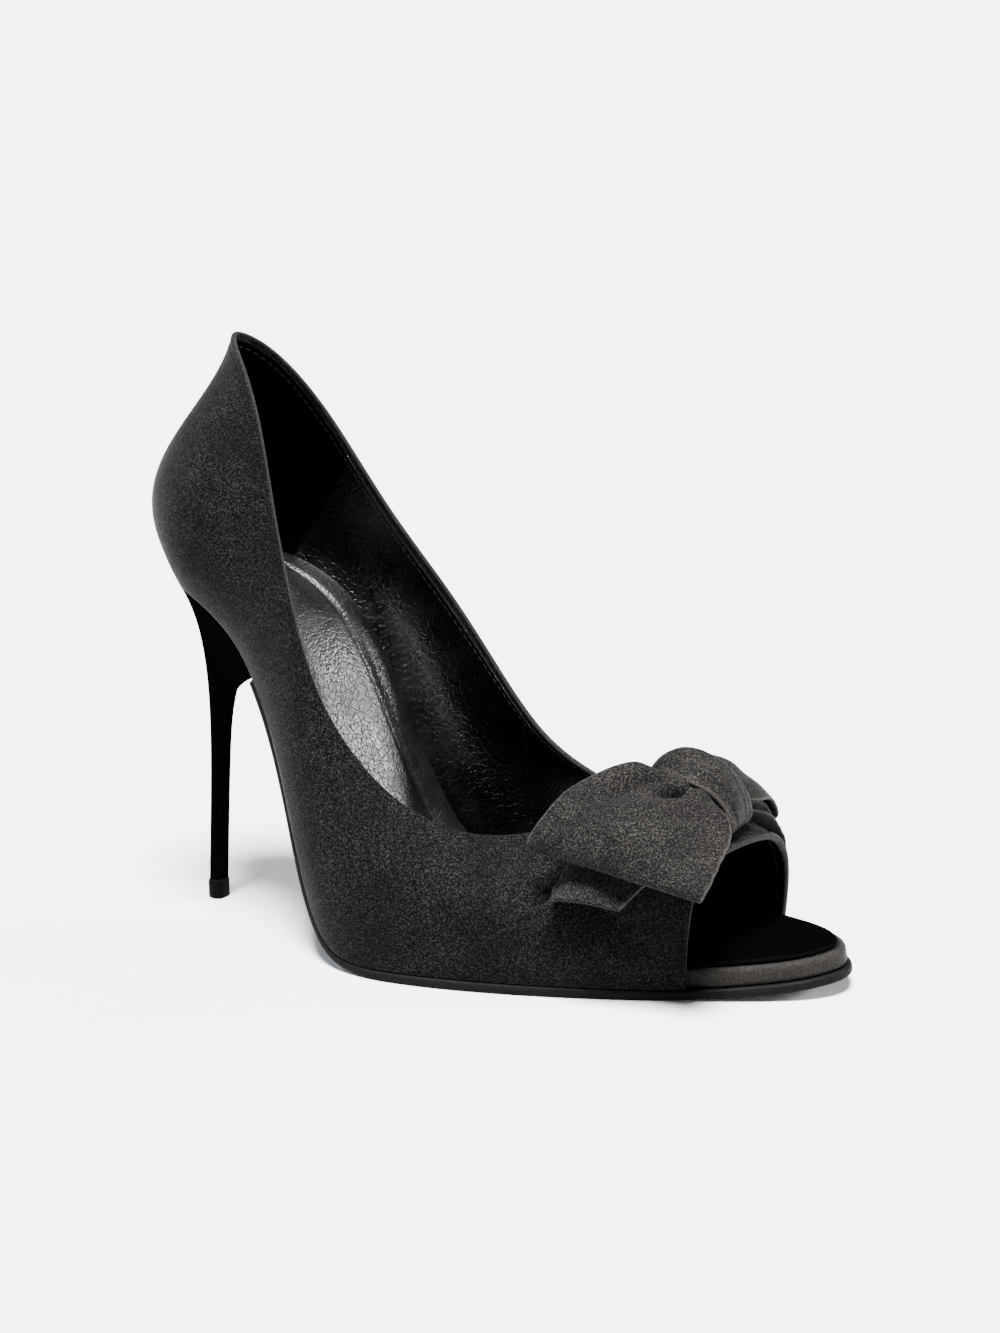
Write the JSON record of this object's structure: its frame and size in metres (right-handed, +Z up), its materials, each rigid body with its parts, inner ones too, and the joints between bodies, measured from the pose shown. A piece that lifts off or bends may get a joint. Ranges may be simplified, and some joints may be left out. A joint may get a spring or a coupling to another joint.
{
  "type": "peep toe pump",
  "caption": "High heeled peep toe pump for the right foot, in black satin with a stiletto heel, an open toe and a folded ribbon bow on the vamp.",
  "frame": {"origin": "on the floor under the middle of the shoe's bounding box", "axes": "+X from the heel towards the toe, +Y towards the inner side of the foot, +Z up"},
  "size_m": [0.2134, 0.085, 0.17],
  "materials": {
    "black_satin": "satin weave",
    "sole_leather": "smooth",
    "sock_leather": "grained",
    "heel_cover": "covered, low gloss",
    "top_piece_rubber": "smooth"
  },
  "bodies": {
    "root": {"upper": "black_satin", "outsole": "sole_leather", "insole_board": "black_satin", "sock_lining": "sock_leather", "heel": "heel_cover", "heel_top_piece": "top_piece_rubber", "bow_loop_outer": "black_satin", "bow_loop_inner": "black_satin", "bow_tail_outer": "black_satin", "bow_tail_inner": "black_satin", "bow_knot": "black_satin"}
  },
  "joints": []
}
